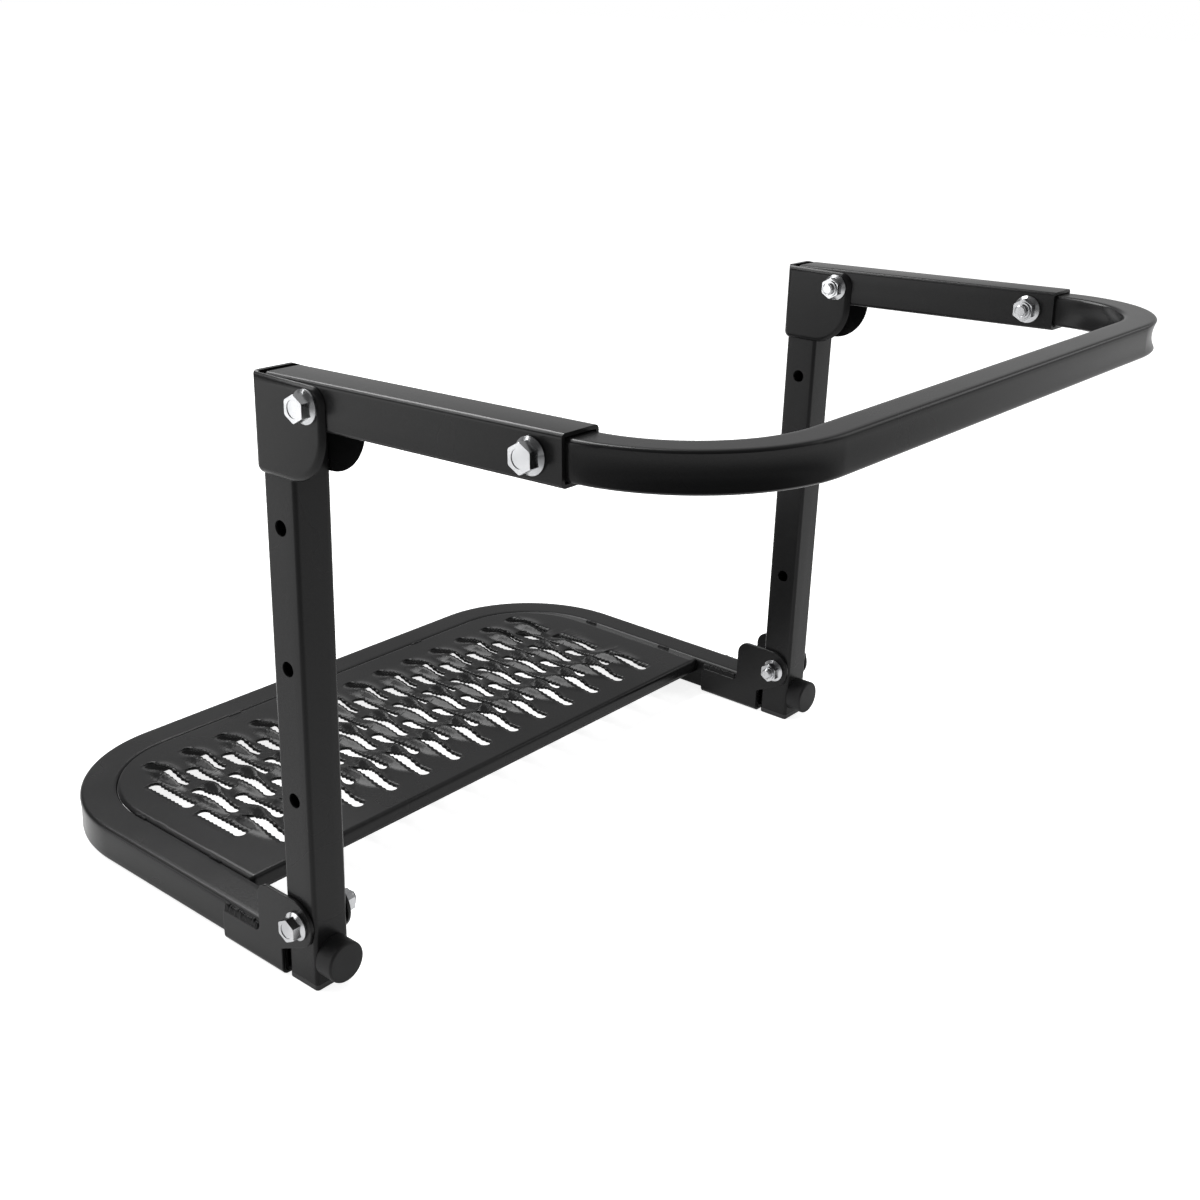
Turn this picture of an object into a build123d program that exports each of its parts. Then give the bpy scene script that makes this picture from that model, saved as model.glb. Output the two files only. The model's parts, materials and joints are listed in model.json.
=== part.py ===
from build123d import *
import math
import os

# Tire step: two legs, a loop that hangs over the tire, and a slotted platform.
# Sizes are in millimetres and angles in degrees.
# X runs across the step, +Y points at the tire, Z is up and the floor is at zero.
# Parts are drawn with Y measured from the legs' centre plane and moved at the end.

# Tubes and sheet
frame_tube = 25.0
frame_corner = 2.5
leg_wall = 1.5
sleeve_wall = 2.0
step_wall = 1.5
loop_tube = 20.0
loop_corner = 2.0
loop_wall = 1.5
bracket_sheet = 2.5
bracket_bend = 2.0
bracket_clearance = 0.4

# Legs
leg_spacing = 496.0
leg_hole = 9.0
leg_hole_pitch = 81.0
leg_hole_count = 4
step_pivot_height = 42.0
cap_flange = 4.0
cap_plug = 9.0
cap_wall = 2.0
cap_round = 1.0
cap_clearance = 0.2

# Bumpers
bumper_diameter = 26.0
bumper_length = 12.5
bumper_round = 1.5
bumper_height = 20.0
stem_diameter = 8.0
stem_clearance = 0.15
barb_diameter = 10.0
barb_length = 4.0
barb_taper = 1.0

# Hinge brackets and arms
arm_pivot_forward = 27.6
arm_pivot_height = 356.0
arm_rise = 2.0
arm_stop_gap = 0.3
hinge_above_pivot = 11.0
hinge_below_pivot = 43.0
hinge_ahead_pivot = 12.4
hinge_heel_round = 5.0
hinge_toe_round = 29.0
hinge_nose_round = 9.0
sleeve_behind = 33.8
sleeve_ahead = 166.0
sleeve_bolt_at = 148.0
bolt_hole = 8.4

# Loop
loop_reach = 254.0
loop_bend = 77.0
loop_tail = 20.0
loop_hole_pitch = 32.0
loop_hole_count = 4

# Step frame and its brackets
step_reach = 300.0
step_bend = 88.0
step_leg_gap = 2.8
step_bracket_rear = 71.4
step_bracket_side = 22.0
step_bracket_round = 3.0
step_slot_top = 19.0
step_slot_round = 1.0
ear_rear = 36.0
ear_nose_back = 3.0
ear_radius = 15.5
ear_corner = 10.0
ear_root = 4.0

# Tread plate
plate_sheet = 2.0
plate_seam = 0.3
plate_near = 78.5
plate_fold = 3.0
plate_flange = 10.8
line_pitch = 15.75
line_count = 26
slot_pitch = 55.6
slot_length = 47.0
slot_width = 8.5
slot_corner = 3.0
press_up = 4.5
press_share = 0.3
press_shift = 4.0
press_run = 12.0

# Fasteners
bolt_diameter = 8.0
pivot_clearance = 0.05
nut_clearance = 0.05
hex_across = 13.0
hex_height = 8.0
flange_diameter = 18.0
flange_edge = 1.2
flange_height = 2.8
head_recess = 0.4
collar_height = 1.4
collar_wall = 1.6
bolt_end = 2.5
turning_gap = 0.2

# Worked out from the sizes above
half_tube = frame_tube / 2
half_loop = loop_tube / 2
half_spacing = leg_spacing / 2
pivot_bore = bolt_diameter + 2 * pivot_clearance
bracket_inside = frame_tube + 2 * bracket_clearance
bracket_outside = bracket_inside + 2 * bracket_sheet
rise_sin = math.sin(math.radians(arm_rise))
rise_cos = math.cos(math.radians(arm_rise))
leg_top = arm_pivot_height - sleeve_behind * rise_sin - half_tube * rise_cos - arm_stop_gap
step_front = -(half_tube + step_leg_gap)
step_axis_height = bracket_sheet + half_tube
step_top = bracket_sheet + frame_tube
loop_front = (
    arm_pivot_forward
    + (loop_reach - loop_corner) * rise_cos
    + (half_loop - loop_corner) * rise_sin
    + loop_corner
)
leg_y = (step_reach - loop_front) / 2


def tube_section(size, wall, corner):
    outer = RectangleRounded(size, size, corner)
    inner = RectangleRounded(size - 2 * wall, size - 2 * wall, corner - wall)
    return outer, inner


def straight_tube(size, wall, corner, length):
    outer, inner = tube_section(size, wall, corner)
    return extrude(outer - inner, amount=length)


def bent_tube(size, wall, corner, half_width, end_y, cross_y, bend):
    path = FilletPolyline(
        (half_width, end_y),
        (half_width, cross_y),
        (-half_width, cross_y),
        (-half_width, end_y),
        radius=bend,
    )
    start = Plane(origin=path @ 0, z_dir=path % 0, x_dir=(0, 0, 1))
    outer, inner = tube_section(size, wall, corner)
    return sweep(start * outer, path) - sweep(start * inner, path)


def cross_hole(diameter, y, z, length):
    return Pos(0, y, z) * Rot(0, 90, 0) * Cylinder(diameter / 2, length)


def side_outline(corners):
    sketch = Polygon(*[(y, z) for y, z, radius in corners], align=None)
    for y, z, radius in corners:
        if radius > 0:
            corner = sketch.vertices().sort_by_distance((y, z, 0))[0]
            sketch = fillet(corner, radius)
    return sketch


def across(sketch, width):
    return extrude(Plane.YZ * sketch, amount=width / 2, both=True)


# Legs
leg = Pos(0, 0, cap_flange) * straight_tube(frame_tube, leg_wall, frame_corner, leg_top - cap_flange)
for index in range(leg_hole_count):
    leg -= cross_hole(leg_hole, 0, step_pivot_height + index * leg_hole_pitch, 2 * frame_tube)
stem_hole = Cylinder(stem_diameter / 2 + stem_clearance, 4 * leg_wall)
leg -= Pos(0, half_tube, bumper_height) * Rot(90, 0, 0) * stem_hole

# Leg end caps: a flange under the tube and a hollow plug inside it
plug_size = frame_tube - 2 * leg_wall - 2 * cap_clearance
plug_outer = RectangleRounded(plug_size, plug_size, frame_corner - leg_wall)
plug_inner = Rectangle(plug_size - 2 * cap_wall, plug_size - 2 * cap_wall)
cap = extrude(RectangleRounded(frame_tube, frame_tube, frame_corner), amount=cap_flange)
cap = fillet(cap.faces().sort_by(Axis.Z)[0].edges(), cap_round)
cap += Pos(0, 0, cap_flange) * extrude(plug_outer - plug_inner, amount=cap_plug)

# Bumpers: a round rubber pad with a barbed stem through the leg's front wall
stem_radius = stem_diameter / 2
barb_start = leg_wall + stem_clearance
barb_end = barb_start + barb_length
bumper_outline = Polygon(
    (0, bumper_length),
    (bumper_diameter / 2, bumper_length),
    (bumper_diameter / 2, 0),
    (stem_radius, 0),
    (stem_radius, -barb_start),
    (barb_diameter / 2, -barb_start),
    (stem_radius - barb_taper, -barb_end),
    (0, -barb_end),
    align=None,
)
rim = bumper_outline.vertices().sort_by_distance((bumper_diameter / 2, bumper_length, 0))[0]
bumper_outline = fillet(rim, bumper_round)
bumper = revolve(Plane.XY * bumper_outline, Axis.Y)
bumper = Pos(0, half_tube, bumper_height) * bumper

# Hinge brackets: a U of sheet behind the leg with a cheek on each side of the sleeve
hinge_back = -(half_tube + bracket_sheet)
hinge_front = arm_pivot_forward + hinge_ahead_pivot
hinge_top = arm_pivot_height + hinge_above_pivot
hinge_bottom = arm_pivot_height - hinge_below_pivot
hinge_outline = side_outline(
    [
        (hinge_back, hinge_bottom, hinge_heel_round),
        (hinge_front, hinge_bottom, hinge_toe_round),
        (hinge_front, hinge_top, hinge_nose_round),
        (hinge_back, hinge_top, 0),
    ]
)
hinge_bracket = across(hinge_outline, bracket_outside)
back_edges = hinge_bracket.edges().filter_by(Axis.Z).group_by(Axis.Y)[0]
hinge_bracket = fillet(back_edges, bracket_sheet + bracket_bend)
hinge_height = hinge_top - hinge_bottom
hinge_depth = 2 * hinge_front
hinge_space = Box(bracket_inside, hinge_depth, 2 * hinge_height)
hinge_space = fillet(hinge_space.edges().filter_by(Axis.Z).group_by(Axis.Y)[0], bracket_bend)
hinge_bracket -= Pos(0, hinge_depth / 2 - half_tube, hinge_bottom) * hinge_space
hinge_bracket -= cross_hole(bolt_hole, arm_pivot_forward, arm_pivot_height, 2 * bracket_outside)

# Arm sleeves and loop, drawn level with the arm pivot at the origin
sleeve = straight_tube(frame_tube, sleeve_wall, frame_corner, sleeve_behind + sleeve_ahead)
sleeve = Pos(0, -sleeve_behind, 0) * Rot(-90, 0, 0) * sleeve
sleeve -= cross_hole(pivot_bore, 0, 0, 2 * frame_tube)
sleeve -= cross_hole(bolt_hole, sleeve_bolt_at, 0, 2 * frame_tube)
loop_bar = bent_tube(
    loop_tube, loop_wall, loop_corner, half_spacing, loop_tail, loop_reach - half_loop, loop_bend
)
for index in range(loop_hole_count):
    hole_at = sleeve_bolt_at - index * loop_hole_pitch
    loop_bar -= cross_hole(bolt_hole, hole_at, 0, leg_spacing + 2 * frame_tube)
raise_arm = Pos(0, arm_pivot_forward, arm_pivot_height) * Rot(arm_rise, 0, 0)

# Step frame
step_frame = bent_tube(
    frame_tube, step_wall, frame_corner, half_spacing, step_front, half_tube - step_reach, step_bend
)
step_frame = Pos(0, 0, step_axis_height) * step_frame

# Step brackets: a U of sheet under the side tube with an ear on each side of the leg.
# The ear's lower edge runs from the top of the open slot as a tangent to the nose.
slot_dy = -ear_nose_back - step_front
slot_dz = step_pivot_height - step_slot_top
slot_distance = math.hypot(slot_dy, slot_dz)
tangent_angle = math.atan2(slot_dz, slot_dy) - math.asin(ear_radius / slot_distance)
tangent_length = math.sqrt(slot_distance**2 - ear_radius**2)
nose_low = (
    step_front + tangent_length * math.cos(tangent_angle),
    step_slot_top + tangent_length * math.sin(tangent_angle),
)
ear_top = step_pivot_height + ear_radius
step_outline = side_outline(
    [
        (-step_bracket_rear, 0, 0),
        (step_front, 0, 0),
        (step_front, step_slot_top, step_slot_round),
        (nose_low[0], nose_low[1], 0),
        (-ear_nose_back, step_pivot_height, 0),
        (-ear_nose_back, ear_top, 0),
        (-ear_rear, ear_top, ear_corner),
        (-ear_rear, step_bracket_side, ear_root),
        (-step_bracket_rear, step_bracket_side, step_bracket_round),
    ]
)
step_outline += Pos(-ear_nose_back, step_pivot_height) * Circle(ear_radius)
step_bracket = across(step_outline, bracket_outside)
under_edges = step_bracket.edges().filter_by(Axis.Y).group_by(Axis.Z)[0]
step_bracket = fillet(under_edges, bracket_sheet + bracket_bend)
channel_length = 4 * step_bracket_rear
channel = Box(bracket_inside, channel_length, 2 * ear_top)
channel = fillet(channel.edges().filter_by(Axis.Y).group_by(Axis.Z)[0], bracket_bend)
step_bracket -= Pos(0, 0, bracket_sheet + ear_top) * channel
step_bracket -= cross_hole(pivot_bore, 0, step_pivot_height, 2 * bracket_outside)

# Tread plate: one sheet with staggered slots. It is pressed up beyond the slots of every
# second line, less so before them, and is flat at the margins.
plate_far = step_reach - frame_tube - plate_seam
plate_middle = -(plate_far + plate_near) / 2
plate_half = half_spacing - half_tube - plate_seam
line_x = [(line_count / 2 - index) * line_pitch for index in range(line_count)]
field_near = 1.5 * slot_pitch
field_left = line_x[-1] - press_run
field_right = line_x[0] + press_run
field_step = line_x[0] - slot_width / 2
high_rows = (-slot_pitch, 0.0, slot_pitch)
low_rows = (-slot_pitch / 2, slot_pitch / 2)


def slot_rows(index):
    return low_rows if index % 2 == 0 else high_rows


def tread_height(x, v):
    # Ridges stand on the strips beyond every second line and run out before the margins.
    if abs(v) >= field_near:
        return 0.0
    away = x - (line_x[1] - line_pitch / 2)
    ridge = press_share + (1 - press_share) * math.cos(math.pi * away / (2 * line_pitch)) ** 2
    run_right = (field_step - x) / (line_pitch - slot_width)
    run_left = (x - field_left) / press_run
    ridge *= min(max(run_right, 0.0), 1.0) * min(max(run_left, 0.0), 1.0)
    along = min(abs(v + press_shift - row) for row in high_rows)
    reach = slot_length / 2 - press_shift
    crest = math.cos(math.pi / 2 * min(along / reach, 1.0)) ** 2
    return round(press_up * ridge * crest, 6)


def tread_point(x, v, drop=0.0):
    return (x, plate_middle + v, step_top + tread_height(x, v) - drop)


def sorted_steps(values):
    return sorted({round(value, 6) for value in values})


def triangle_faces(corners, drop):
    points = [tread_point(x, v, drop) for x, v in corners]
    if len(points) == 3 or max(p[2] for p in points) - min(p[2] for p in points) < 1e-6:
        return [Face(Wire.make_polygon(points))]
    if len(points) == 4:
        fans = [(points[0], points[1], points[2]), (points[0], points[2], points[3])]
        return [Face(Wire.make_polygon(fan)) for fan in fans]
    middle_x = sum(x for x, v in corners) / len(corners)
    middle_v = sum(v for x, v in corners) / len(corners)
    middle = tread_point(middle_x, middle_v, drop)
    return [Face(Wire.make_polygon((middle, p, q))) for p, q in zip(points, points[1:] + points[:1])]


def slot_wall(start, end):
    points = [tread_point(*start), tread_point(*end)]
    points += [tread_point(*end, plate_sheet), tread_point(*start, plate_sheet)]
    return Face(Wire.make_polygon(points))


def slot_cells(x, index, v_steps):
    # Plan outlines of the metal in one line, and the edges of its slots.
    x_left = x - slot_width / 2
    x_right = x + slot_width / 2
    cut_left = x_left + slot_corner
    cut_right = x_right - slot_corner
    ends_low = [round(row - slot_length / 2, 6) for row in slot_rows(index)]
    ends_high = [round(row + slot_length / 2, 6) for row in slot_rows(index)]
    cells = []
    edges = []
    for low, high in zip(v_steps, v_steps[1:]):
        middle = (low + high) / 2
        in_slot = any(a < middle < b for a, b in zip(ends_low, ends_high))
        if in_slot and (low in ends_low or high in ends_high):
            outer, inner = (low, high) if low in ends_low else (high, low)
            cells.append([(x_left, inner), (cut_left, outer), (x_left, outer)])
            cells.append([(x_right, inner), (cut_right, outer), (x_right, outer)])
            edges.append([(x_left, inner), (cut_left, outer)])
            edges.append([(cut_left, outer), (cut_right, outer)])
            edges.append([(cut_right, outer), (x_right, inner)])
        elif in_slot:
            edges.append([(x_left, low), (x_left, high)])
            edges.append([(x_right, low), (x_right, high)])
        else:
            land = [(x_left, low)]
            land += [(cut_left, low), (cut_right, low)] if low in ends_high else []
            land += [(x_right, low), (x_right, high)]
            land += [(cut_right, high), (cut_left, high)] if high in ends_low else []
            land.append((x_left, high))
            cells.append(land)
    return cells, edges


def column_steps(x, v_steps):
    # The pressed field is shorter beside the outermost line, where the plate is rounded.
    return v_steps if x < field_step else [v for v in v_steps if abs(v) <= slot_pitch]


def tread_faces():
    v_steps = [-field_near, -slot_pitch, slot_pitch, field_near]
    for row in high_rows + low_rows:
        for reach in (slot_length / 2, slot_length / 2 - slot_corner):
            v_steps += [row - reach, row + reach]
    v_steps = sorted_steps(v_steps)
    x_steps = [field_left, field_right]
    cells = []
    edges = []
    for index, x in enumerate(line_x):
        x_steps += [x - slot_width / 2, x + slot_width / 2]
        line_cells, line_edges = slot_cells(x, index, column_steps(x, v_steps))
        cells += line_cells
        edges += line_edges
    x_steps = sorted(x_steps)
    for left, right in zip(x_steps[0::2], x_steps[1::2]):
        steps = column_steps(left, v_steps)
        for low, high in zip(steps, steps[1:]):
            cells.append([(left, low), (right, low), (right, high), (left, high)])
    faces = [slot_wall(start, end) for start, end in edges]
    fold_y = -plate_near - plate_fold
    corner = step_bend - half_tube - plate_seam
    corner_y = -plate_far + corner
    corner_x = plate_half - corner
    inner_x = x_steps[:-2]
    short = column_steps(field_right, v_steps)
    right_rim = [(field_step, v) for v in v_steps if v < -slot_pitch]
    right_rim += [(x, short[0]) for x in x_steps[-3:-1]]
    right_rim += [(field_right, v) for v in short]
    right_rim += [(x, short[-1]) for x in x_steps[-2:-4:-1]]
    right_rim += [(field_step, v) for v in v_steps if v > slot_pitch]
    left_rim = [(field_left, v) for v in v_steps]
    for drop in (0.0, plate_sheet):
        for cell in cells:
            faces += triangle_faces(cell, drop)
        level = step_top - drop
        near = [tread_point(x, v_steps[-1], drop) for x in inner_x]
        near += [(plate_half, fold_y, level), (-plate_half, fold_y, level)]
        far = [tread_point(x, v_steps[0], drop) for x in inner_x]
        far += [(corner_x, -plate_far, level), (-corner_x, -plate_far, level)]
        faces += [Face(Wire.make_polygon(near)), Face(Wire.make_polygon(far))]
        for side, rim in ((1, right_rim), (-1, left_rim)):
            run = [(side * corner_x, -plate_far, level)]
            run += [tread_point(x, v, drop) for x, v in rim]
            run += [(side * plate_half, fold_y, level), (side * plate_half, corner_y, level)]
            bend = margin_bend(side, corner_x, corner_y, corner, level)
            faces.append(Face(Wire(Wire.make_polygon(run, close=False).edges() + [bend])))
    outline = [Line((corner_x, -plate_far, step_top), (-corner_x, -plate_far, step_top))]
    for side in (1, -1):
        x = side * plate_half
        outline.append(Line((x, fold_y, step_top), (x, corner_y, step_top)))
        outline.append(margin_bend(side, corner_x, corner_y, corner, step_top))
    faces += [Face.extrude(edge.edge(), (0, 0, -plate_sheet)) for edge in outline]
    return faces + fold_faces(fold_y)


def margin_bend(side, corner_x, corner_y, radius, level):
    start = 90 - 90 * side
    return CenterArc((side * corner_x, corner_y, level), radius, start, -90 * side).edge()


def fold_faces(fold_y):
    # The near edge is folded down: outer arc, outer face, lip, inner face, inner arc.
    low = step_top - plate_fold
    lip = step_top - plate_flange
    outer_y = -plate_near
    inner_y = outer_y - plate_sheet
    centre = Plane(origin=(plate_half, fold_y, low), x_dir=(0, 1, 0), z_dir=(1, 0, 0))
    profile = [
        centre * CenterArc((0, 0), plate_fold, 90, -90),
        Line((plate_half, outer_y, low), (plate_half, outer_y, lip)),
        Line((plate_half, outer_y, lip), (plate_half, inner_y, lip)),
        Line((plate_half, inner_y, lip), (plate_half, inner_y, low)),
        centre * CenterArc((0, 0), plate_fold - plate_sheet, 0, 90),
    ]
    closing = Line((plate_half, fold_y, step_top - plate_sheet), (plate_half, fold_y, step_top))
    faces = [Face.extrude(edge.edge(), (-2 * plate_half, 0, 0)) for edge in profile]
    end = Wire([edge.edge() for edge in profile] + [closing.edge()])
    faces.append(Face(end))
    faces.append(Face(end.moved(Location((-2 * plate_half, 0, 0)))))
    return faces


tread_plate = Solid(Shell(tread_faces()))


# Fasteners, drawn along Z with the bearing face at zero
def hex_flange(height):
    rim = Pos(0, 0, flange_edge / 2) * Cylinder(flange_diameter / 2, flange_edge)
    cone_height = flange_height - flange_edge
    skirt = Cone(flange_diameter / 2, hex_across / 2, cone_height)
    prism = extrude(RegularPolygon(hex_across / 2, 6, major_radius=False), amount=height)
    corner = hex_across / math.sqrt(3)
    bevel = Cone(corner + height, corner - 0.6, height + 0.6)
    prism = prism & (Pos(0, 0, (height - 0.6) / 2 + 0.3) * bevel)
    return rim + Pos(0, 0, flange_edge + cone_height / 2) * skirt + prism


def flange_bolt(grip):
    length = grip + hex_height + collar_height + bolt_end
    shank = Cylinder(bolt_diameter / 2, length)
    shank = chamfer(shank.edges().sort_by(Axis.Z)[0], 0.8)
    head = hex_flange(hex_height)
    head -= Pos(0, 0, hex_height) * Cylinder(hex_across / 2 - 1.8, 2 * head_recess)
    return head + Pos(0, 0, -length / 2) * shank


def flange_nut():
    bore = bolt_diameter + 2 * nut_clearance
    collar = Cylinder(bore / 2 + collar_wall, collar_height)
    nut = hex_flange(hex_height) + Pos(0, 0, hex_height + collar_height / 2) * collar
    return nut - Cylinder(bore / 2, 4 * hex_height)


def fastener_pair(y, z, grip):
    bolt = Pos(half_spacing + grip / 2, y, z) * Rot(0, 90, 0) * flange_bolt(grip)
    nut = Pos(half_spacing - grip / 2, y, z) * Rot(0, -90, 0) * flange_nut()
    bolts = [bolt.solid(), mirror(bolt, about=Plane.YZ).solid()]
    nuts = [nut.solid(), mirror(nut, about=Plane.YZ).solid()]
    return Compound(bolts), Compound(nuts)


step_grip = bracket_outside + 2 * turning_gap
upper_bolts, upper_nuts = fastener_pair(arm_pivot_forward, arm_pivot_height, bracket_outside)
lower_bolts, lower_nuts = fastener_pair(0, step_pivot_height, step_grip)
sleeve_bolts, sleeve_nuts = fastener_pair(sleeve_bolt_at, 0, frame_tube)

# Everything in its place, with the origin under the middle of the whole step
nodes = {
    "loop_bar": raise_arm * loop_bar,
    "sleeve_bolts": raise_arm * sleeve_bolts,
    "sleeve_nuts": raise_arm * sleeve_nuts,
    "upper_pivot_bolts": upper_bolts,
    "upper_pivot_nuts": upper_nuts,
    "lower_pivot_bolts": lower_bolts,
    "lower_pivot_nuts": lower_nuts,
    "step_frame": step_frame,
    "tread_plate": tread_plate,
}
for side, x in (("right", half_spacing), ("left", -half_spacing)):
    nodes["arm_sleeve_" + side] = Pos(x, 0, 0) * raise_arm * sleeve
    nodes["leg_" + side] = Pos(x, 0, 0) * leg
    nodes["leg_end_cap_" + side] = Pos(x, 0, 0) * cap
    nodes["hinge_bracket_" + side] = Pos(x, 0, 0) * hinge_bracket
    nodes["step_bracket_" + side] = Pos(x, 0, 0) * step_bracket
    nodes["bumper_" + side] = Pos(x, 0, 0) * bumper

os.makedirs("parts", exist_ok=True)
for name, shape in nodes.items():
    export_step(Pos(0, leg_y, 0) * shape, "parts/" + name + ".step")
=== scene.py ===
import json
import math

import bmesh
import bpy
from mathutils import Matrix, Vector


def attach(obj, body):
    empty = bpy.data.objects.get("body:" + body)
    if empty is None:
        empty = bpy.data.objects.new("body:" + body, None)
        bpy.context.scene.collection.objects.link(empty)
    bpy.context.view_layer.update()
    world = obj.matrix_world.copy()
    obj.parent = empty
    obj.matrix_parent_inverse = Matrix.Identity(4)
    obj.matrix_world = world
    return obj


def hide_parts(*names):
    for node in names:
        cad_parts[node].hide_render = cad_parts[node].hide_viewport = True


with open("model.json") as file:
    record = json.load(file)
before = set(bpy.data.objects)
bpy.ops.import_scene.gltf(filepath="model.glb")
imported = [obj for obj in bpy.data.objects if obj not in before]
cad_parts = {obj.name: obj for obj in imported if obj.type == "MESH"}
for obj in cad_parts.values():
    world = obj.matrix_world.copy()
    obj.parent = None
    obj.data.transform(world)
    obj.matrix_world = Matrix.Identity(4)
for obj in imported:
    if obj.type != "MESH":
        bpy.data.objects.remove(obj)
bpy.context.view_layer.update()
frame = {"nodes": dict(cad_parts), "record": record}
scene = bpy.context.scene

# Sizes in metres, as the solids have them
MM = 0.001
LEG_Y = 9.1375 * MM
HALF_SPACING = 248 * MM
ARM_PIVOT = Vector((0, LEG_Y + 27.6 * MM, 356 * MM))
ARM_RISE = math.radians(2)
SLEEVE_BOLT_REACH = 148 * MM
STEP_PIVOT = Vector((0, LEG_Y, 42 * MM))
STEP_TUBE_MIDDLE = 15 * MM
STEP_TOP = 27.5 * MM
PLATE_MIDDLE = LEG_Y - 176.6 * MM
TUBE_WALL = 1.5 * MM
PLATE_SHEET = 2 * MM
RAISE_ARM = Matrix.Translation(ARM_PIVOT) @ Matrix.Rotation(ARM_RISE, 4, "X")

# A length below this counts as none
TOUCH = 1e-6


# Shared shader nodes and the grain group
def shader_group(name, inputs, outputs):
    tree = bpy.data.node_groups.new(name, "ShaderNodeTree")
    for label, value in inputs:
        socket = tree.interface.new_socket(name=label, in_out="INPUT", socket_type="NodeSocketFloat")
        socket.default_value = value
    for label, kind in outputs:
        tree.interface.new_socket(name=label, in_out="OUTPUT", socket_type=kind)
    return tree, tree.nodes.new("NodeGroupInput"), tree.nodes.new("NodeGroupOutput")


def noise(tree, vector, scale, detail):
    node = tree.nodes.new("ShaderNodeTexNoise")
    node.inputs["Detail"].default_value = detail
    tree.links.new(vector, node.inputs["Vector"])
    tree.links.new(scale, node.inputs["Scale"])
    return node.outputs["Fac"]


def math_node(tree, operation, a, b):
    node = tree.nodes.new("ShaderNodeMath")
    node.operation = operation
    for socket, value in zip(node.inputs, (a, b)):
        if isinstance(value, (int, float)):
            socket.default_value = value
        else:
            tree.links.new(value, socket)
    return node.outputs[0]


def ranged(tree, value, low, high, start, end, interpolation="LINEAR"):
    node = tree.nodes.new("ShaderNodeMapRange")
    node.interpolation_type = interpolation
    for label, number in (("From Min", low), ("From Max", high), ("To Min", start), ("To Max", end)):
        node.inputs[label].default_value = number
    tree.links.new(value, node.inputs["Value"])
    return node.outputs["Result"]


def make_coat_grain():
    # Orange peel of a sprayed or powdered coat: a height, a slow cloud and fine specks.
    tree, given, result = shader_group(
        "coat_grain",
        [("Peel Scale", 700.0), ("Cloud Scale", 14.0), ("Speck Scale", 2600.0)],
        [("Height", "NodeSocketFloat"), ("Cloud", "NodeSocketFloat"), ("Speck", "NodeSocketFloat")],
    )
    coords = tree.nodes.new("ShaderNodeTexCoord").outputs["Object"]
    layers = (("Peel Scale", "Height", 2), ("Cloud Scale", "Cloud", 3), ("Speck Scale", "Speck", 1))
    for scale, label, detail in layers:
        tree.links.new(noise(tree, coords, given.outputs[scale], detail), result.inputs[label])
    return tree


COAT_GRAIN = make_coat_grain()

# Spans of the grain's values that are spread over a tint and over a roughness
TINT_SPAN = (0.12, 0.4)
CLOUD_SPAN = (0.3, 0.7)


def coated_material(name, dark, light, rough, peel, cloud, speck, bump, distance):
    material = bpy.data.materials.new(name)
    material.use_nodes = True
    tree = material.node_tree
    shader = tree.nodes["Principled BSDF"]
    grain = tree.nodes.new("ShaderNodeGroup")
    grain.node_tree = COAT_GRAIN
    for label, scale in (("Peel Scale", peel), ("Cloud Scale", cloud), ("Speck Scale", speck)):
        grain.inputs[label].default_value = scale
    tint = tree.nodes.new("ShaderNodeMix")
    tint.data_type = "RGBA"
    tint.inputs["A"].default_value = (*dark, 1)
    tint.inputs["B"].default_value = (*light, 1)
    blend = math_node(tree, "MULTIPLY", grain.outputs["Cloud"], grain.outputs["Speck"])
    tree.links.new(ranged(tree, blend, *TINT_SPAN, 0, 1), tint.inputs["Factor"])
    tree.links.new(tint.outputs["Result"], shader.inputs["Base Color"])
    tree.links.new(ranged(tree, grain.outputs["Cloud"], *CLOUD_SPAN, *rough), shader.inputs["Roughness"])
    relief = tree.nodes.new("ShaderNodeBump")
    relief.inputs["Strength"].default_value = bump
    relief.inputs["Distance"].default_value = distance
    tree.links.new(grain.outputs["Height"], relief.inputs["Height"])
    tree.links.new(relief.outputs["Normal"], shader.inputs["Normal"])
    return material, shader


def make_powder_coat():
    material, shader = coated_material(
        "black_powder_coat",
        dark=(0.0095, 0.0095, 0.0098),
        light=(0.0150, 0.0150, 0.0153),
        rough=(0.22, 0.29),
        peel=850,
        cloud=9,
        speck=2600,
        bump=0.16,
        distance=0.00012,
    )
    shader.inputs["Specular IOR Level"].default_value = 0.15
    return material


def make_zinc():
    material, shader = coated_material(
        "bright_zinc",
        dark=(0.39, 0.395, 0.405),
        light=(0.59, 0.595, 0.605),
        rough=(0.16, 0.30),
        peel=900,
        cloud=60,
        speck=3000,
        bump=0.10,
        distance=0.0001,
    )
    shader.inputs["Metallic"].default_value = 1.0
    return material


def make_rubber():
    material, shader = coated_material(
        "black_rubber",
        dark=(0.010, 0.010, 0.0105),
        light=(0.017, 0.017, 0.0175),
        rough=(0.52, 0.66),
        peel=1500,
        cloud=30,
        speck=3200,
        bump=0.3,
        distance=0.0002,
    )
    shader.inputs["Specular IOR Level"].default_value = 0.25
    return material


def make_cap_plastic():
    material, shader = coated_material(
        "cap_plastic",
        dark=(0.011, 0.011, 0.0115),
        light=(0.016, 0.016, 0.0165),
        rough=(0.40, 0.52),
        peel=1900,
        cloud=22,
        speck=4000,
        bump=0.22,
        distance=0.0001,
    )
    shader.inputs["Specular IOR Level"].default_value = 0.42
    return material


FINISH = {
    "powder_coat": make_powder_coat(),
    "zinc": make_zinc(),
    "rubber": make_rubber(),
    "plastic": make_cap_plastic(),
}


# Making and placing pieces
def add_piece(name, mesh, body, slot, replaced=()):
    piece = bpy.data.objects.new(name, mesh)
    scene.collection.objects.link(piece)
    mesh.materials.clear()
    mesh.materials.append(FINISH[slot])
    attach(piece, body)
    if replaced:
        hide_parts(*replaced)
    return piece


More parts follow.
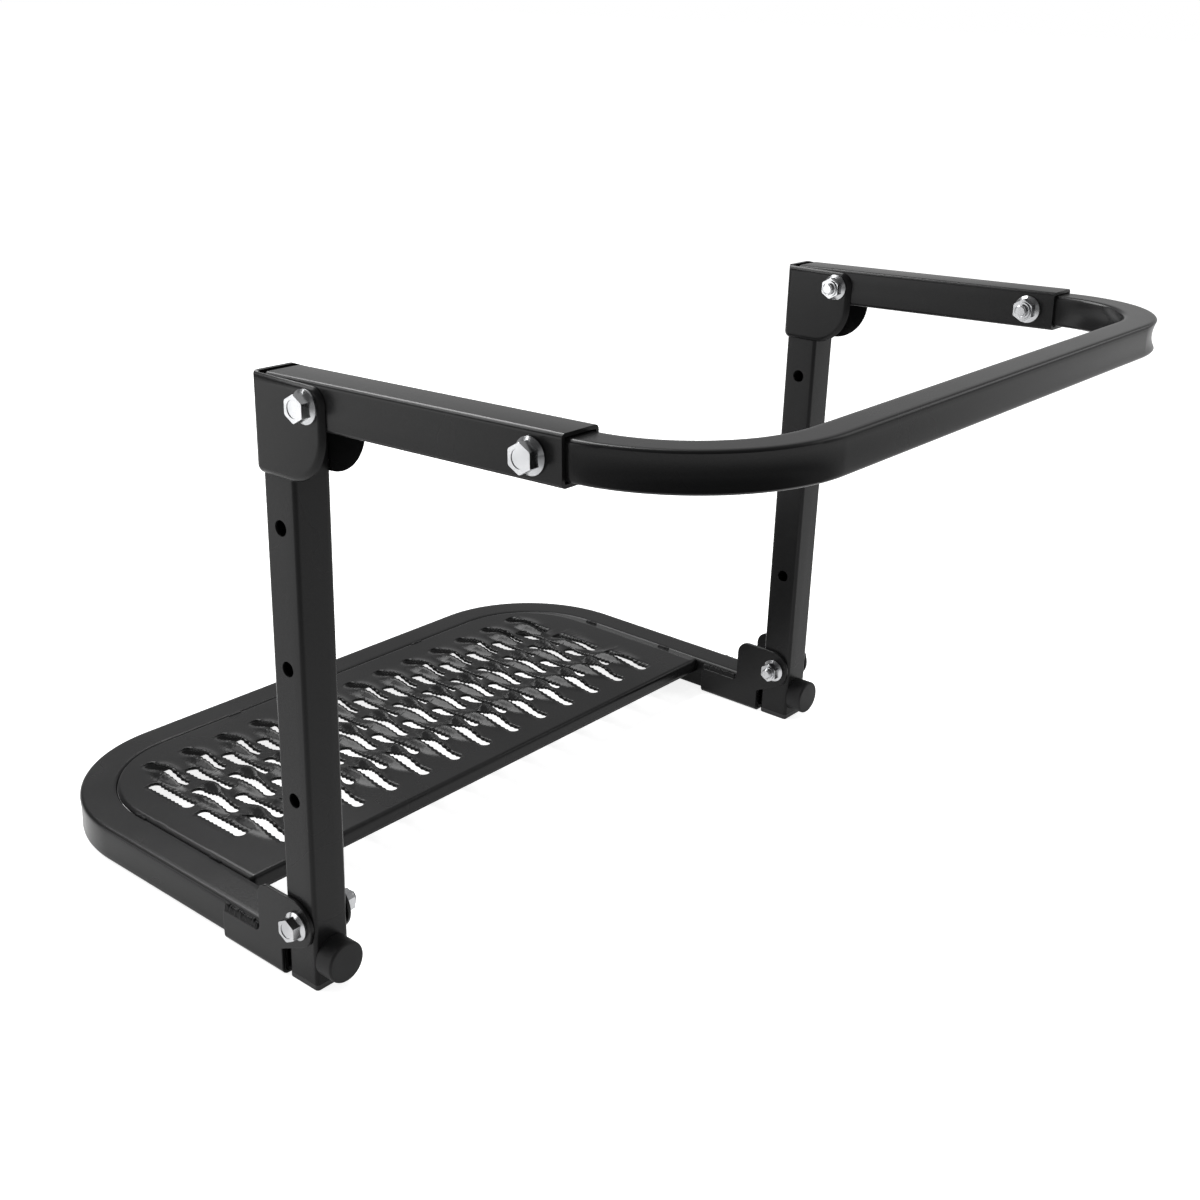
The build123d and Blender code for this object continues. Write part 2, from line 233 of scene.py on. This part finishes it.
def smooth_mesh(mesh, sharp_degrees):
    mesh.shade_smooth()
    mesh.set_sharp_from_angle(angle=math.radians(sharp_degrees))


def mesh_from(name, points, faces):
    mesh = bpy.data.meshes.new(name)
    mesh.from_pydata([tuple(p) for p in points], [], faces)
    mesh.update()
    return mesh


# Angles in degrees: faces that are one flat face, and edges that are sharp enough to be eased
FLAT_DEGREES = 0.5
EASED_DEGREES = 35


def eased_edges(name, node, body, width):
    # A copy of a solid whose sharp edges are rounded a little, as a coated edge is.
    mesh = frame["nodes"][node].data.copy()
    mesh.name = name
    work = bmesh.new()
    work.from_mesh(mesh)
    bmesh.ops.remove_doubles(work, verts=work.verts, dist=TOUCH)
    flat = math.radians(FLAT_DEGREES)
    bmesh.ops.dissolve_limit(work, angle_limit=flat, verts=work.verts, edges=work.edges)
    work.to_mesh(mesh)
    work.free()
    piece = add_piece(name, mesh, body, "powder_coat", (node,))
    smooth_mesh(mesh, sharp_degrees=30)
    bevel = piece.modifiers.new("eased", "BEVEL")
    bevel.width = width
    bevel.segments = 3
    bevel.limit_method = "ANGLE"
    bevel.angle_limit = math.radians(EASED_DEGREES)
    bevel.harden_normals = True


# Bent square tube: steps along a straight run, a bend, a side and a corner, and the depth of an open end
STRAIGHT_STEPS = 6
BEND_STEPS = 44
SIDE_STEPS = 8
CORNER_STEPS = 4
OPEN_DEPTH = 40 * MM

# How fast the dish sets in along a bend, and the share of a corner that it leaves alone
DISH_ONSET = 0.8
DISH_MARGIN = 0.6


def square_profile(size, corner):
    # Points (u, w) of a rounded square, anticlockwise from the +u side.
    half = size / 2
    run = half - corner
    local = [(half, -run + 2 * run * i / SIDE_STEPS) for i in range(SIDE_STEPS)]
    for i in range(CORNER_STEPS):
        angle = math.pi / 2 * i / CORNER_STEPS
        local.append((run + corner * math.cos(angle), run + corner * math.sin(angle)))
    points = []
    for quarter in range(4):
        turn = quarter * math.pi / 2
        cosine, sine = math.cos(turn), math.sin(turn)
        points += [(u * cosine - w * sine, u * sine + w * cosine) for u, w in local]
    return points


def bent_path(tail_y, cross_y, bend):
    # Centre line from the right tail round to the left tail: place, outward side, share of bend.
    turn = math.copysign(bend, cross_y - tail_y)
    places = []
    for step in range(STRAIGHT_STEPS + 1):
        share = step / STRAIGHT_STEPS
        y = tail_y + (cross_y - turn - tail_y) * share
        places.append((Vector((HALF_SPACING, y, 0)), Vector((1, 0, 0)), 0.0))
    centre = Vector((HALF_SPACING - bend, cross_y - turn, 0))
    for step in range(1, BEND_STEPS + 1):
        angle = math.pi / 2 * step / BEND_STEPS
        outward = Vector((math.cos(angle), math.copysign(math.sin(angle), turn), 0))
        bent = math.sin(2 * angle) ** DISH_ONSET if step < BEND_STEPS else 0.0
        places.append((centre + outward * bend, outward, bent))
    mirrored = [(Vector((-p.x, p.y, 0)), Vector((-o.x, o.y, 0)), b) for p, o, b in reversed(places)]
    return places + mirrored


def bent_tube(name, path, place, size, corner, dish_out, dish_in):
    # The bend draws the outer and inner walls in, so they are dished at mid height.
    profile = square_profile(size, corner)
    half = size / 2
    points = []
    for centre, outward, bent in path:
        for u, w in profile:
            dish = max(0.0, 1 - (w / (half - corner * DISH_MARGIN)) ** 2)
            pull = 0.0
            if u > half - TOUCH:
                pull = -dish_out
            elif u < -half + TOUCH:
                pull = dish_in
            points.append(place @ (centre + outward * (u + pull * dish * bent) + Vector((0, 0, w))))
    count = len(profile)
    faces = []
    for ring in range(len(path) - 1):
        for i in range(count):
            j = (i + 1) % count
            a, b = ring * count, (ring + 1) * count
            faces.append((a + i, b + i, b + j, a + j))
    shrink = (size - 2 * TUBE_WALL) / size
    for ring, inward in ((0, 1), (len(path) - 1, -1)):
        centre, outward, _ = path[ring]
        neighbour = path[ring + inward][0]
        back = (neighbour - centre).normalized() * OPEN_DEPTH
        start = len(points)
        for offset in (Vector((0, 0, 0)), back):
            for u, w in profile:
                inner_point = centre + offset + outward * (u * shrink) + Vector((0, 0, w * shrink))
                points.append(place @ inner_point)
        rim, inner, deep = ring * count, start, start + count
        for i in range(count):
            j = (i + 1) % count
            quads = [(rim + i, rim + j, inner + j, inner + i), (inner + i, inner + j, deep + j, deep + i)]
            faces += quads if inward > 0 else [tuple(reversed(q)) for q in quads]
        lid = tuple(deep + i for i in range(count))
        faces.append(lid if inward > 0 else tuple(reversed(lid)))
    mesh = mesh_from(name, points, faces)
    work = bmesh.new()
    work.from_mesh(mesh)
    bmesh.ops.recalc_face_normals(work, faces=work.faces)
    work.to_mesh(mesh)
    work.free()
    smooth_mesh(mesh, sharp_degrees=40)
    return mesh


loop_mesh = bent_tube(
    "loop_tube",
    bent_path(tail_y=20 * MM, cross_y=244 * MM, bend=77 * MM),
    RAISE_ARM,
    size=20 * MM,
    corner=2.2 * MM,
    dish_out=3.3 * MM,
    dish_in=2.4 * MM,
)
add_piece("loop_tube", loop_mesh, "loop", "powder_coat", ("loop_bar",))

step_mesh = bent_tube(
    "step_tube",
    bent_path(tail_y=-15.3 * MM, cross_y=-287.5 * MM, bend=88 * MM),
    Matrix.Translation((0, LEG_Y, STEP_TUBE_MIDDLE)),
    size=25 * MM,
    corner=2.6 * MM,
    dish_out=0.4 * MM,
    dish_in=1.0 * MM,
)
add_piece("step_tube", step_mesh, "platform", "powder_coat", ("step_frame",))

# Pressed tread plate, in millimetres: x across, v from the plate's middle towards the tire
LINE_PITCH = 15.75
LINE_COUNT = 26
LINE_X = [(LINE_COUNT // 2 - index) * LINE_PITCH for index in range(LINE_COUNT)]
LAST_STRIP = LINE_COUNT
SLOT_PITCH = 55.6
SLOT_LENGTH = 47.0
SLOT_HALF = 4.5
END_SLACK = 1e-9
PLATE_HALF = 235.2
PLATE_FAR = -98.1
PLATE_FOLD = 95.1
FIELD_END = 1.5 * SLOT_PITCH
CORNER = 75.2
HIGH_ROWS = (-SLOT_PITCH, 0.0, SLOT_PITCH)
LOW_ROWS = (-SLOT_PITCH / 2, SLOT_PITCH / 2)

# Teeth of the slots' long edges: pitch, sharpness, least and added depth, and the run where they set in
TOOTH_PITCH = 4.3
TOOTH_POWER = 1.6
TOOTH_LEAST = 0.25
TOOTH_DEPTH = 0.85
TOOTH_RUN = 2.5

# Half width where columns stay straight, at the far slots' middle and at the field's end. The last is
# the plate's own half width at the field's end.
HELD_AT_SLOTS = 212
HELD_AT_END = 195
HALF_AT_END = 204.7

# Fineness of the sheet: step and least gap of the rows, rows in a slot's end, cells across a strip and
# across a side margin
ROW_STEP = 0.7
ROW_GAP = 0.3
END_INSETS = (0.12, 0.45, 1.0, 1.8, 2.8)
STRIP_CELLS = 4
MARGIN_CELLS = 6

# Fold of the near edge: its radius, its steps and the rows of the flange below it
FOLD_RADIUS = 3.0
FOLD_STEPS = 6
FLANGE_ROWS = (-5.5, -8.2, -10.8)

# The pressing starts this far inside the first line and grows over the next width. Beyond the last line
# it runs out over the last width.
FIRST_FADE_START = 4.0
FIRST_FADE = 7.75
LAST_FADE = 14.0

# How the sheet is pressed up across two lines: place beyond a three-slot line, then the height and the
# crest of the far, middle and near rows, then the reach of each hump to the far and to the near side.
PRESS_PROFILE = (
    (-15.75, 0.2, -60, 1.0, -12, 1.0, 38, 20, 20),
    (-11.5, 0.0, -58, 0.0, -8, 0.0, 40, 20, 24),
    (-4.1, 4.6, -51, 3.4, -2, 4.3, 41, 24, 34),
    (4.1, 4.6, -58, 3.0, 4, 4.4, 54, 20, 17),
    (11.5, 0.4, -58, 4.5, -13, 4.4, 37, 22, 20),
    (15.75, 0.2, -60, 1.0, -12, 1.0, 38, 20, 20),
)


def slot_half_width(index, v):
    # Half width of the slot of one line: rounded ends, toothed long edges, none on a land.
    for row in LOW_ROWS if index % 2 == 0 else HIGH_ROWS:
        reach = SLOT_LENGTH / 2 - abs(v - row)
        if reach < -END_SLACK:
            continue
        if reach < SLOT_HALF:
            return math.sqrt(max(0.0, SLOT_HALF**2 - (SLOT_HALF - reach) ** 2))
        inside = min(1.0, (reach - SLOT_HALF) / TOOTH_RUN)
        tooth = (0.5 + 0.5 * math.cos(2 * math.pi * (v - row) / TOOTH_PITCH)) ** TOOTH_POWER
        return SLOT_HALF - inside * (TOOTH_LEAST + TOOTH_DEPTH * tooth)
    return 0.0


def eased(share):
    share = min(max(share, 0.0), 1.0)
    return share * share * (3 - 2 * share)


def pressed_height(x, v):
    beyond = (LINE_X[1] - x + LINE_PITCH) % (2 * LINE_PITCH) - LINE_PITCH
    values = PRESS_PROFILE[-1]
    for low, high in zip(PRESS_PROFILE, PRESS_PROFILE[1:]):
        if low[0] <= beyond < high[0]:
            share = (beyond - low[0]) / (high[0] - low[0])
            share = (share + eased(share)) / 2
            values = [a + (b - a) * share for a, b in zip(low, high)]
    fade = eased((LINE_X[0] - FIRST_FADE_START - x) / FIRST_FADE)
    fade *= eased((x - LINE_X[-1] + LAST_FADE) / LAST_FADE)
    reach_far, reach_near = values[7:9]
    height = 0.0
    for rise, crest in (values[1:3], values[3:5], values[5:7]):
        along = (crest - v) / reach_far if v < crest else (v - crest) / reach_near
        height = max(height, rise * math.cos(math.pi / 2 * min(along, 1)) ** 2)
    return fade * height


def plate_x(x, v):
    # Squeezes the margins' columns into the plate's rounded far corners.
    corner_v = PLATE_FAR + CORNER
    if v >= corner_v:
        return x
    half = PLATE_HALF - CORNER + math.sqrt(max(0.0, CORNER**2 - (corner_v - v) ** 2))
    side = math.copysign(1.0, x)
    if v < -FIELD_END:
        held = HELD_AT_END / HALF_AT_END * half
        if abs(x) <= HELD_AT_END:
            return x * held / HELD_AT_END
        return side * (held + (abs(x) - HELD_AT_END) * (half - held) / (PLATE_HALF - HELD_AT_END))
    share = min(1.0, max(0.0, (-SLOT_PITCH - v) / (FIELD_END - SLOT_PITCH)))
    held = HELD_AT_SLOTS + (HELD_AT_END - HELD_AT_SLOTS) * share
    if abs(x) <= held:
        return x
    return side * (held + (abs(x) - held) * (half - held) / (PLATE_HALF - held))


def tread_rows():
    count = int((PLATE_FOLD - PLATE_FAR) / ROW_STEP)
    steps = {round(PLATE_FAR + ROW_STEP * i, 4) for i in range(count)}
    steps.add(PLATE_FOLD)
    ends = []
    for row in HIGH_ROWS + LOW_ROWS:
        for side in (-1, 1):
            ends.append(row + side * SLOT_LENGTH / 2)
            for inset in END_INSETS:
                ends.append(row + side * (SLOT_LENGTH / 2 - inset))
    kept = [v for v in steps if min(abs(v - e) for e in ends) > ROW_GAP]
    return sorted(kept + ends)


def fold_rows():
    # Places beyond the fold line and below the plate's top, round the fold and down the flange.
    rows = []
    for i in range(1, FOLD_STEPS + 1):
        angle = math.pi / 2 * i / FOLD_STEPS
        rows.append((FOLD_RADIUS * math.sin(angle), -FOLD_RADIUS + FOLD_RADIUS * math.cos(angle)))
    return rows + [(FOLD_RADIUS, down) for down in FLANGE_ROWS]


def tread_mesh():
    # Strips of sheet between the lines of slots, joined on the lands, with the near edge folded down.
    rows = tread_rows()
    fold = fold_rows()
    points = []
    ids = {}
    faces = []

    def vertex(key, place):
        if key not in ids:
            ids[key] = len(points)
            points.append(place)
        return ids[key]

    def cell_count(strip):
        return MARGIN_CELLS if strip in (0, LAST_STRIP) else STRIP_CELLS

    def strip_edges(strip, v):
        left = -PLATE_HALF if strip == LAST_STRIP else LINE_X[strip] + slot_half_width(strip, v)
        right = PLATE_HALF if strip == 0 else LINE_X[strip - 1] - slot_half_width(strip - 1, v)
        return left, right

    def column(strip, part, row):
        v = rows[row]
        left, right = strip_edges(strip, v)
        count = cell_count(strip)
        x = left + (right - left) * part / count
        key = (strip, part, row)
        if part == 0 and strip < LAST_STRIP and slot_half_width(strip, v) < TOUCH:
            key = ("land", strip, row)
        if part == count and strip > 0 and slot_half_width(strip - 1, v) < TOUCH:
            key = ("land", strip - 1, row)
        height = STEP_TOP + pressed_height(x, v) * MM
        return vertex(key, (plate_x(x, v) * MM, PLATE_MIDDLE + v * MM, height))

    for strip in range(LAST_STRIP + 1):
        for part in range(cell_count(strip)):
            for row in range(len(rows) - 1):
                a, b = column(strip, part, row), column(strip, part + 1, row)
                c, d = column(strip, part + 1, row + 1), column(strip, part, row + 1)
                face = tuple(dict.fromkeys((a, b, c, d)))
                if len(face) > 2:
                    faces.append(face)
            last = [column(strip, part, len(rows) - 1), column(strip, part + 1, len(rows) - 1)]
            for step, (out, down) in enumerate(fold):
                fresh = []
                for above in last:
                    x = points[above][0]
                    key = ("fold", round(x, 7), step)
                    place = (x, PLATE_MIDDLE + (PLATE_FOLD + out) * MM, STEP_TOP + down * MM)
                    fresh.append(vertex(key, place))
                faces.append((last[0], last[1], fresh[1], fresh[0]))
                last = fresh
    return mesh_from("pressed_tread", points, faces)


tread = tread_mesh()
smooth_mesh(tread, sharp_degrees=60)
tread_piece = add_piece("pressed_tread", tread, "platform", "powder_coat", ("tread_plate",))
sheet = tread_piece.modifiers.new("sheet", "SOLIDIFY")
sheet.thickness = PLATE_SHEET
sheet.offset = -1
sheet.use_even_offset = False

# Legs, brackets and sleeves with eased edges: piece, solid, body and width of the easing
EASED_PIECES = (
    ("leg_tube_", "leg_", "legs", 0.35 * MM),
    ("hinge_cheeks_", "hinge_bracket_", "legs", 0.6 * MM),
    ("sleeve_tube_", "arm_sleeve_", "loop", 0.4 * MM),
    ("step_ears_", "step_bracket_", "platform", 0.6 * MM),
)
for side in ("left", "right"):
    for name, solid, body, width in EASED_PIECES:
        eased_edges(name + side, solid + side, body, width)


# Weld beads and thread turns, grown from points and lines
def growing_tree(name, inputs):
    tree = bpy.data.node_groups.new(name, "GeometryNodeTree")
    tree.interface.new_socket(name="Geometry", in_out="INPUT", socket_type="NodeSocketGeometry")
    for label, value in inputs:
        socket = tree.interface.new_socket(name=label, in_out="INPUT", socket_type="NodeSocketFloat")
        socket.default_value = value
    tree.interface.new_socket(name="Geometry", in_out="OUTPUT", socket_type="NodeSocketGeometry")
    return tree, tree.nodes.new("NodeGroupInput"), tree.nodes.new("NodeGroupOutput")


def finish_growing(tree, result, instances, slot):
    real = tree.nodes.new("GeometryNodeRealizeInstances")
    smooth = tree.nodes.new("GeometryNodeSetShadeSmooth")
    coat = tree.nodes.new("GeometryNodeSetMaterial")
    coat.inputs["Material"].default_value = FINISH[slot]
    tree.links.new(instances, real.inputs["Geometry"])
    tree.links.new(real.outputs["Geometry"], smooth.inputs["Geometry"])
    tree.links.new(smooth.outputs["Geometry"], coat.inputs["Geometry"])
    tree.links.new(coat.outputs["Geometry"], result.inputs["Geometry"])


def make_weld_tree():
    # Uneven drops in a row along each line, as tall as asked for.
    inputs = [("Pitch", 0.0013), ("Radius", 0.0016), ("Height", 1.0)]
    tree, given, result = growing_tree("weld_bead", inputs)
    path = tree.nodes.new("GeometryNodeMeshToCurve")
    spaced = tree.nodes.new("GeometryNodeResampleCurve")
    spaced.mode = "LENGTH"
    drop = tree.nodes.new("GeometryNodeMeshUVSphere")
    drop.inputs["Segments"].default_value = 8
    drop.inputs["Rings"].default_value = 5
    heading = tree.nodes.new("FunctionNodeAlignRotationToVector")
    heading.axis = "X"
    tangent = tree.nodes.new("GeometryNodeInputTangent")
    uneven = tree.nodes.new("FunctionNodeRandomValue")
    uneven.data_type = "FLOAT_VECTOR"
    uneven.inputs["Min"].default_value = (0.75, 0.85, 0.8)
    uneven.inputs["Max"].default_value = (1.0, 1.15, 1.1)
    uneven.inputs["Seed"].default_value = 7
    place = tree.nodes.new("GeometryNodeInstanceOnPoints")
    tree.links.new(given.outputs["Geometry"], path.inputs["Mesh"])
    tree.links.new(path.outputs["Curve"], spaced.inputs["Curve"])
    tree.links.new(given.outputs["Pitch"], spaced.inputs["Length"])
    tree.links.new(given.outputs["Radius"], drop.inputs["Radius"])
    tree.links.new(tangent.outputs["Tangent"], heading.inputs["Vector"])
    tree.links.new(spaced.outputs["Curve"], place.inputs["Points"])
    tree.links.new(drop.outputs["Mesh"], place.inputs["Instance"])
    tree.links.new(heading.outputs["Rotation"], place.inputs["Rotation"])
    tall = tree.nodes.new("ShaderNodeCombineXYZ")
    tall.inputs["X"].default_value = 1.0
    tall.inputs["Y"].default_value = 1.0
    scaled = tree.nodes.new("ShaderNodeVectorMath")
    scaled.operation = "MULTIPLY"
    tree.links.new(given.outputs["Height"], tall.inputs["Z"])
    tree.links.new(uneven.outputs["Value"], scaled.inputs[0])
    tree.links.new(tall.outputs["Vector"], scaled.inputs[1])
    tree.links.new(scaled.outputs["Vector"], place.inputs["Scale"])
    finish_growing(tree, result, place.outputs["Instances"], "powder_coat")
    return tree


def make_thread_tree():
    # Two turns of a thin ridge along X from each point.
    tree, given, result = growing_tree("thread_turns", [("Length", 0.0025), ("Radius", 0.0039)])
    turns = tree.nodes.new("GeometryNodeCurveSpiral")
    turns.inputs["Resolution"].default_value = 18
    turns.inputs["Rotations"].default_value = 2
    ridge = tree.nodes.new("GeometryNodeCurvePrimitiveCircle")
    ridge.inputs["Resolution"].default_value = 5
    ridge.inputs["Radius"].default_value = 0.00034
    rope = tree.nodes.new("GeometryNodeCurveToMesh")
    rope.inputs["Fill Caps"].default_value = True
    place = tree.nodes.new("GeometryNodeInstanceOnPoints")
    place.inputs["Rotation"].default_value = (0, math.pi / 2, 0)
    tree.links.new(given.outputs["Length"], turns.inputs["Height"])
    tree.links.new(given.outputs["Radius"], turns.inputs["Start Radius"])
    tree.links.new(given.outputs["Radius"], turns.inputs["End Radius"])
    tree.links.new(turns.outputs["Curve"], rope.inputs["Curve"])
    tree.links.new(ridge.outputs["Curve"], rope.inputs["Profile Curve"])
    tree.links.new(given.outputs["Geometry"], place.inputs["Points"])
    tree.links.new(rope.outputs["Mesh"], place.inputs["Instance"])
    finish_growing(tree, result, place.outputs["Instances"], "zinc")
    return tree


def grown_mesh(name, points, lines, tree, values):
    start = bpy.data.meshes.new(name + "_start")
    start.from_pydata(points, lines, [])
    holder = bpy.data.objects.new(name + "_start", start)
    scene.collection.objects.link(holder)
    grown = holder.modifiers.new("grown", "NODES")
    grown.node_group = tree
    for item in tree.interface.items_tree:
        if item.in_out == "INPUT" and item.name in values:
            grown[item.identifier] = values[item.name]
    graph = bpy.context.evaluated_depsgraph_get()
    mesh = bpy.data.meshes.new_from_object(holder.evaluated_get(graph))
    mesh.name = name
    bpy.data.objects.remove(holder)
    return mesh


# Weld places in millimetres, a bead's from the side tube's middle, the legs' middle and the floor
BEAD_X = 12.8
BEAD_Z = 20.6
BEAD_Y = (-70, -60, -50, -40)
BEAD_END = ((-40, 21), (-38.8, 21.6), (-38, 22.2))
BEAD_END_INSET = 0.7
BEAD_SIZES = {"Pitch": 1.2 * MM, "Radius": 2.2 * MM, "Height": 2.7}
TACK_SIDE_V = (-19, 62)
TACK_FAR_X = 96
TACK_STEPS = (-5, 0, 5)
TACK_OUT = 0.2
TACK_DROP = 0.4
TACK_SIZES = {"Pitch": 1.1 * MM, "Radius": 1.2 * MM}


def weld_lines():
    # Bracket walls to the side tubes, then short tacks round the plate's edge.
    beads = []
    tacks = []
    tack_z = STEP_TOP - TACK_DROP * MM
    for side in (-1, 1):
        for wall in (-1, 1):
            x = side * HALF_SPACING + wall * BEAD_X * MM
            beads.append([(x, LEG_Y + y * MM, BEAD_Z * MM) for y in BEAD_Y])
            x -= wall * BEAD_END_INSET * MM
            beads.append([(x, LEG_Y + y * MM, z * MM) for y, z in BEAD_END])
        x = side * (PLATE_HALF + TACK_OUT) * MM
        for v in TACK_SIDE_V:
            tacks.append([(x, PLATE_MIDDLE + (v + step) * MM, tack_z) for step in TACK_STEPS])
        y = PLATE_MIDDLE + (PLATE_FAR - TACK_OUT) * MM
        tacks.append([((side * TACK_FAR_X + step) * MM, y, tack_z) for step in TACK_STEPS])
    return beads, tacks


def joined_lines(runs):
    points = []
    lines = []
    for run in runs:
        lines += [(len(points) + i, len(points) + i + 1) for i in range(len(run) - 1)]
        points += run
    return points, lines


weld_tree = make_weld_tree()
beads, tacks = weld_lines()
for name, runs, sizes in (("bracket_welds", beads, BEAD_SIZES), ("plate_tacks", tacks, TACK_SIZES)):
    weld_mesh = grown_mesh(name, *joined_lines(runs), weld_tree, sizes)
    add_piece(name, weld_mesh, "platform", "powder_coat")

# Least x of the bare thread at the right and at the left leg, in millimetres
ARM_THREAD_X = (220.7, -223.2)
STEP_THREAD_X = (220.5, -223.0)
SLEEVE_THREAD_X = (223.6, -226.1)
THREAD_SIZES = {"Length": 2.4 * MM}


def thread_starts(places_x, centre):
    return [(x * MM, centre.y, centre.z) for x in places_x]


thread_tree = make_thread_tree()
sleeve_bolt = RAISE_ARM @ Vector((0, SLEEVE_BOLT_REACH, 0))
pivot_starts = thread_starts(ARM_THREAD_X, ARM_PIVOT) + thread_starts(STEP_THREAD_X, STEP_PIVOT)
sleeve_starts = thread_starts(SLEEVE_THREAD_X, sleeve_bolt)
threads = (("pivot_threads", pivot_starts, "legs"), ("sleeve_threads", sleeve_starts, "loop"))
for name, starts, body in threads:
    add_piece(name, grown_mesh(name, starts, [], thread_tree, THREAD_SIZES), body, "zinc")

# The solids get the finish of their slot
for node, thing in frame["nodes"].items():
    slot = next(part["material_slot"] for part in frame["record"]["subparts"] if part["node"] == node)
    thing.data.materials.clear()
    thing.data.materials.append(FINISH[slot])

# Stage, light and camera. A stage level is for what reflections see, unless it is the camera's own.
CAMERA_SIDE = (0.768, 0.640, 0.0)
RIGHT_SIDE = (1.0, 0.0, 0.0)
UP_SIDE = (0.0, 0.0, 1.0)
WHITE = (1, 1, 1, 1)
FLOOR_HALF = 30
FLOOR_GREY = (0.7, 0.7, 0.7, 1)
FLOOR_LEVEL = 0.54
FLOOR_CAMERA_LEVEL = 0.84
WORLD_LEVEL = 0.37
WORLD_BAND_LEVEL = 0.3
WORLD_LIGHT = 0.3
CAMERA_PLACE = (0.742524, 0.618488, 0.550527)
CAMERA_DEGREES = (68.38848, -1.62535, 129.78835)
CAMERA_LENS = 46.0
CAMERA_SENSOR = 36

# Lamps: name, place, target, width and height, watts
LAMPS = (
    ("rear_softbox", (-0.32, -1.25, 1.78), (0, -0.1, 0.1), (1.15, 1.05), 38),
    ("right_softbox", (0.9, -1.3, 1.7), (0, 0, 0.2), (0.8, 0.9), 14),
    ("left_softbox", (-1.7, 0.9, 1.5), (0, 0, 0.2), (0.9, 1.3), 7),
    ("low_softbox", (1.5, -1.05, 0.42), (0, 0, 0.25), (0.9, 0.8), 6),
)


def seen_ray(tree):
    path = tree.nodes.new("ShaderNodeLightPath")
    total = math_node(tree, "ADD", path.outputs["Is Camera Ray"], path.outputs["Is Glossy Ray"])
    total = math_node(tree, "ADD", total, path.outputs["Is Transmission Ray"])
    return math_node(tree, "MINIMUM", total, 1.0), path.outputs["Is Camera Ray"]


def dimmed_towards(tree, side, start, end, dim):
    # One over most of the stage, falling to a dim value on one side of it.
    coords = tree.nodes.new("ShaderNodeTexCoord").outputs["Object"]
    along = tree.nodes.new("ShaderNodeVectorMath")
    along.operation = "DOT_PRODUCT"
    along.inputs[1].default_value = side
    tree.links.new(coords, along.inputs[0])
    return ranged(tree, along.outputs["Value"], start, end, 1.0, dim, "SMOOTHSTEP")


def make_floor():
    corners = [(-1, -1), (1, -1), (1, 1), (-1, 1)]
    mesh = mesh_from("floor", [(x * FLOOR_HALF, y * FLOOR_HALF, 0) for x, y in corners], [(0, 1, 2, 3)])
    floor = bpy.data.objects.new("floor", mesh)
    scene.collection.objects.link(floor)
    material = bpy.data.materials.new("pale_floor")
    material.use_nodes = True
    tree = material.node_tree
    tree.nodes.clear()
    output = tree.nodes.new("ShaderNodeOutputMaterial")
    matte = tree.nodes.new("ShaderNodeBsdfDiffuse")
    matte.inputs["Color"].default_value = FLOOR_GREY
    glow = tree.nodes.new("ShaderNodeEmission")
    glow.inputs["Color"].default_value = WHITE
    seen, by_camera = seen_ray(tree)
    fall = dimmed_towards(tree, CAMERA_SIDE, start=0.45, end=0.95, dim=0.0)
    level = math_node(tree, "MULTIPLY", fall, FLOOR_LEVEL)
    camera_level = math_node(tree, "MULTIPLY", by_camera, FLOOR_CAMERA_LEVEL)
    level = math_node(tree, "MAXIMUM", level, camera_level)
    tree.links.new(math_node(tree, "MULTIPLY", level, seen), glow.inputs["Strength"])
    both = tree.nodes.new("ShaderNodeAddShader")
    tree.links.new(matte.outputs[0], both.inputs[0])
    tree.links.new(glow.outputs[0], both.inputs[1])
    tree.links.new(both.outputs[0], output.inputs["Surface"])
    mesh.materials.append(material)


def make_world():
    world = bpy.data.worlds.new("studio")
    scene.world = world
    world.use_nodes = True
    tree = world.node_tree
    tree.nodes.clear()
    output = tree.nodes.new("ShaderNodeOutputWorld")
    seen = tree.nodes.new("ShaderNodeBackground")
    seen.inputs["Color"].default_value = WHITE
    lit = tree.nodes.new("ShaderNodeBackground")
    lit.inputs["Color"].default_value = WHITE
    lit.inputs["Strength"].default_value = WORLD_LIGHT
    share, by_camera = seen_ray(tree)
    across = dimmed_towards(tree, RIGHT_SIDE, start=-0.45, end=0.0, dim=0.2)
    band = dimmed_towards(tree, UP_SIDE, start=0.05, end=0.45, dim=0.0)
    level = math_node(tree, "MULTIPLY", across, WORLD_LEVEL)
    level = math_node(tree, "ADD", level, math_node(tree, "MULTIPLY", band, WORLD_BAND_LEVEL))
    tree.links.new(math_node(tree, "MAXIMUM", level, by_camera), seen.inputs["Strength"])
    mix = tree.nodes.new("ShaderNodeMixShader")
    tree.links.new(share, mix.inputs["Fac"])
    tree.links.new(lit.outputs[0], mix.inputs[1])
    tree.links.new(seen.outputs[0], mix.inputs[2])
    tree.links.new(mix.outputs[0], output.inputs["Surface"])


def area_lamp(name, place, target, size, energy):
    lamp = bpy.data.lights.new(name, "AREA")
    lamp.shape = "RECTANGLE"
    lamp.size, lamp.size_y = size
    lamp.energy = energy
    holder = bpy.data.objects.new(name, lamp)
    scene.collection.objects.link(holder)
    holder.location = place
    holder.rotation_euler = (Vector(target) - Vector(place)).to_track_quat("-Z", "Y").to_euler()


def make_camera():
    lens = bpy.data.cameras.new("photo_camera")
    lens.sensor_width = CAMERA_SENSOR
    lens.lens = CAMERA_LENS
    lens.clip_start = 0.01
    holder = bpy.data.objects.new("photo_camera", lens)
    scene.collection.objects.link(holder)
    holder.location = CAMERA_PLACE
    holder.rotation_euler = [math.radians(a) for a in CAMERA_DEGREES]
    scene.camera = holder


make_floor()
make_world()
for lamp_values in LAMPS:
    area_lamp(*lamp_values)
make_camera()
scene.view_settings.view_transform = "Standard"
